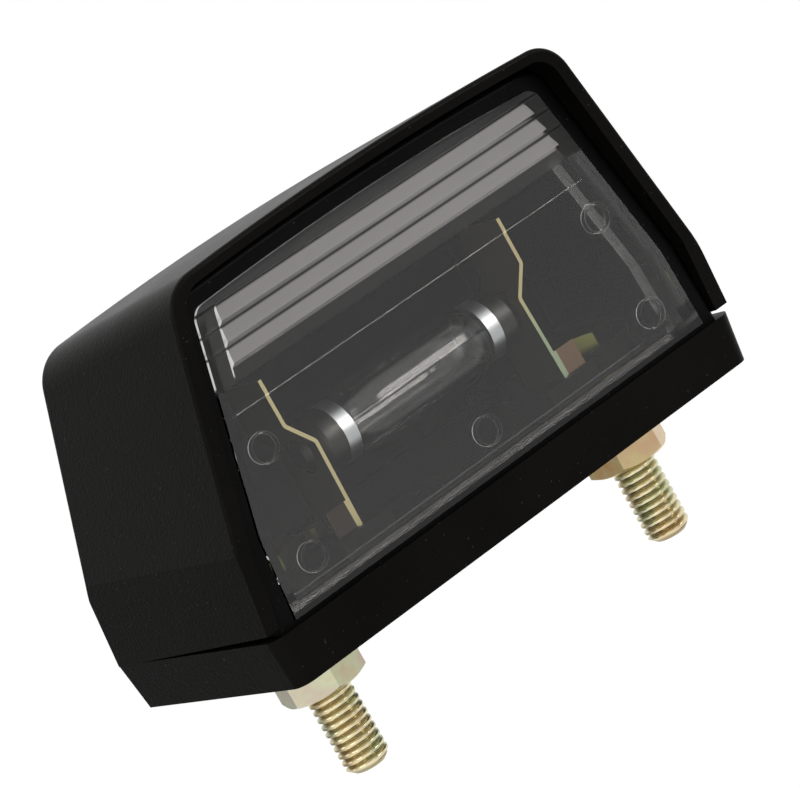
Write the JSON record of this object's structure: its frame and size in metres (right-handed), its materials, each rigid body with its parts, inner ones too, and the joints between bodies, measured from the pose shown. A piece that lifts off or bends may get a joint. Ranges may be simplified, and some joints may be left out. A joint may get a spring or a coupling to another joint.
{
  "type": "number plate lamp",
  "caption": "Small box-shaped number plate lamp: black moulded hood over a tray, clear window with prism flutes, festoon bulb, threaded mounting studs with nuts.",
  "frame": {"origin": "on the base's flat mounting face, midway between the two studs", "axes": "+X along the lamp from stud to stud, to the right as seen from the lens side; the lens looks along -Y; +Z away from the mounting face, opposite to the studs"},
  "size_m": [0.0782, 0.0446, 0.065],
  "materials": {
    "housing_plastic": "black moulded plastic, satin with a fine grain",
    "lens_plastic": "clear moulded acrylic with prism flutes",
    "seal_rubber": "black rubber",
    "bulb_glass": "clear blown glass",
    "filament_metal": "drawn wire",
    "contact_brass": "pressed pale brass",
    "cap_metal": "nickel-plated cap",
    "zinc_steel": "yellow-passivated zinc on steel thread",
    "nut_steel": "pale iridescent zinc plating",
    "screw_steel": "zinc-plated steel"
  },
  "bodies": {
    "root": {"base_plate": "housing_plastic", "hood": "housing_plastic", "lens": "lens_plastic", "lens_seal": "seal_rubber", "contact_strip_left": "contact_brass", "contact_strip_right": "contact_brass", "terminal_screw_left": "contact_brass", "terminal_screw_right": "contact_brass", "stud_bolt_left": "zinc_steel", "stud_bolt_right": "zinc_steel", "nut_left": "nut_steel", "nut_right": "nut_steel", "bulb_glass": "bulb_glass", "bulb_cap_left": "cap_metal", "bulb_cap_right": "cap_metal", "bulb_filament": "filament_metal", "bulb_lead_left": "filament_metal", "bulb_lead_right": "filament_metal", "cover_screw_left": "screw_steel", "cover_screw_right": "screw_steel", "cable_grommet": "seal_rubber"}
  },
  "joints": []
}
